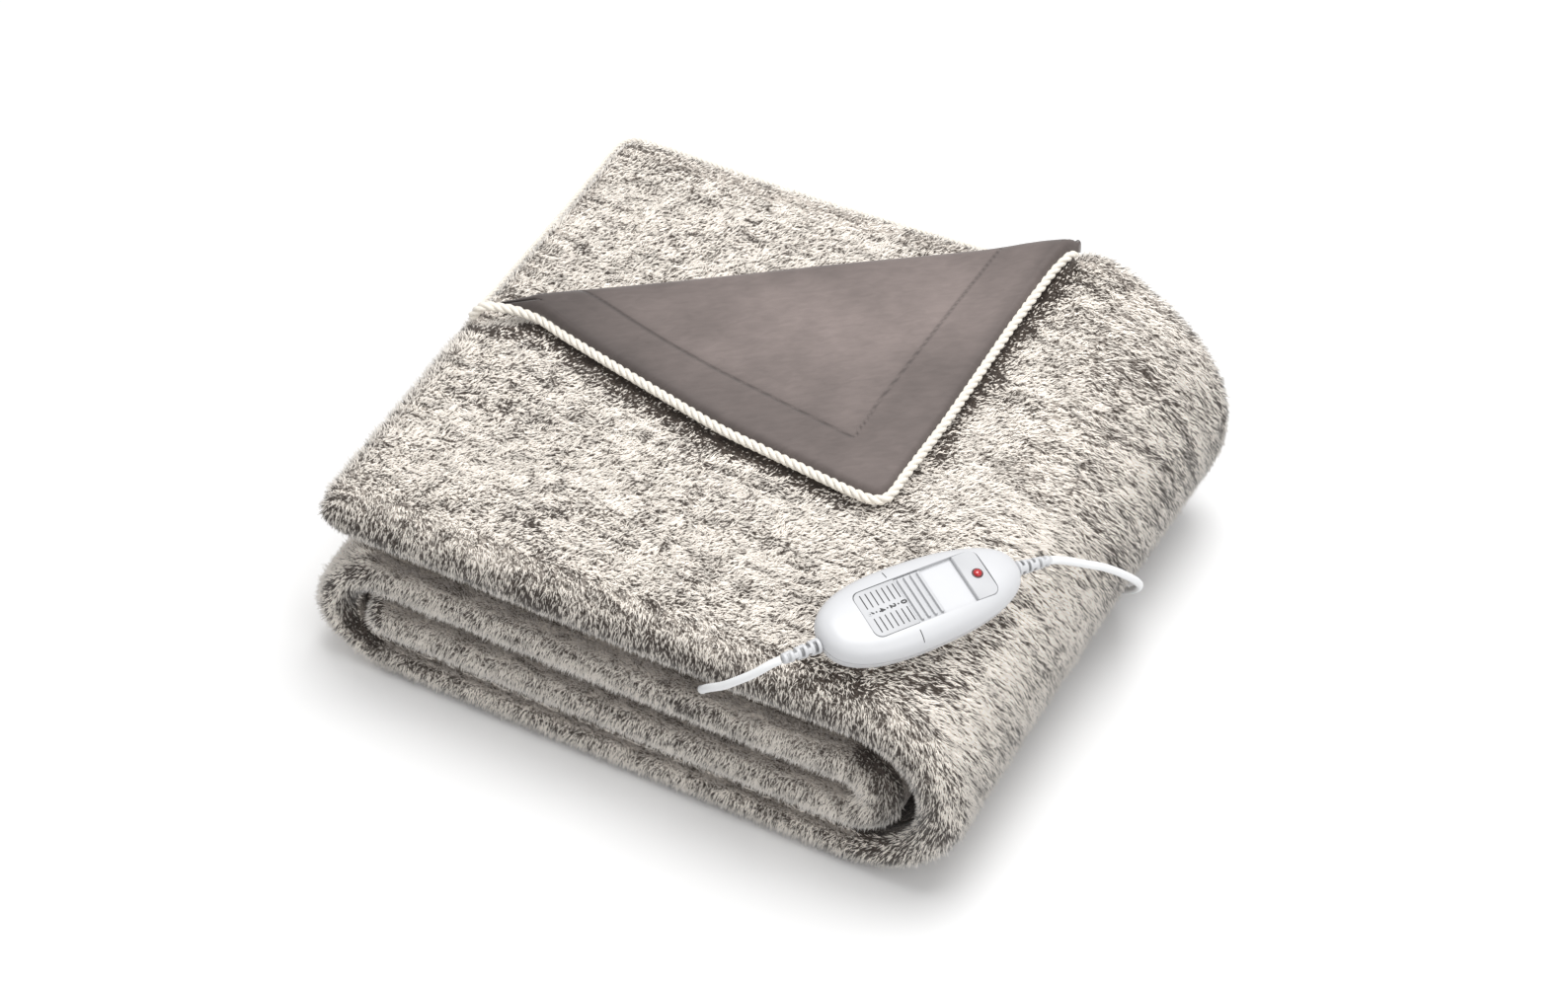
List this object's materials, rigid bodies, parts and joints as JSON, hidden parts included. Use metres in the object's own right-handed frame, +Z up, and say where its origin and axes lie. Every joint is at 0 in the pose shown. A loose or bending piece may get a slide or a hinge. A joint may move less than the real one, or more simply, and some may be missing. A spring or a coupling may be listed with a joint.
{
  "type": "heated blanket",
  "caption": "Folded heated blanket with a long mottled pile, a turned corner that shows its lining, twisted piping, and a slide hand switch on its mains lead.",
  "frame": {"origin": "middle of the folded stack's box, on the surface it rests on", "axes": "+X to the big fold on the right, +Y to the back, +Z up; the open folds face -Y"},
  "size_m": [0.5048, 0.534, 0.2082],
  "materials": {
    "cloth_fur": "long mottled pile, cream tips over dark taupe roots",
    "lining_velour": "smooth short taupe velour",
    "piping_yarn": "two strands of cream yarn, twisted",
    "switch_shell": "white, satin gloss",
    "switch_slider": "pale grey white, satin gloss",
    "lamp_red": "clear red",
    "lead_white": "smooth soft sheath",
    "plug_white": "smooth moulded",
    "pin_nickel": "bright plated"
  },
  "bodies": {
    "blanket": {"folded_cloth": "cloth_fur", "flap_lining": "lining_velour", "flap_piping": "piping_yarn", "edge_piping": "piping_yarn", "handset_base": "switch_shell", "handset_top": "switch_shell", "lamp_plate": "switch_slider", "lamp_lens": "lamp_red", "relief_cloth_side": "switch_shell", "relief_mains_side": "switch_shell", "lead_cloth_side": "lead_white", "lead_mains_run": "lead_white", "lead_plug_tail": "lead_white", "lead_coil": "lead_white", "plug_body": "plug_white", "plug_relief": "plug_white", "plug_pin_left": "pin_nickel", "plug_pin_right": "pin_nickel"},
    "slider": {"slide_switch": "switch_slider"}
  },
  "joints": [
    {"name": "switch_slide", "type": "slide", "parent": "blanket", "child": "slider", "axis": [0.5425, 0.8382, -0.0564], "range_m": [0, 0.022]}
  ]
}
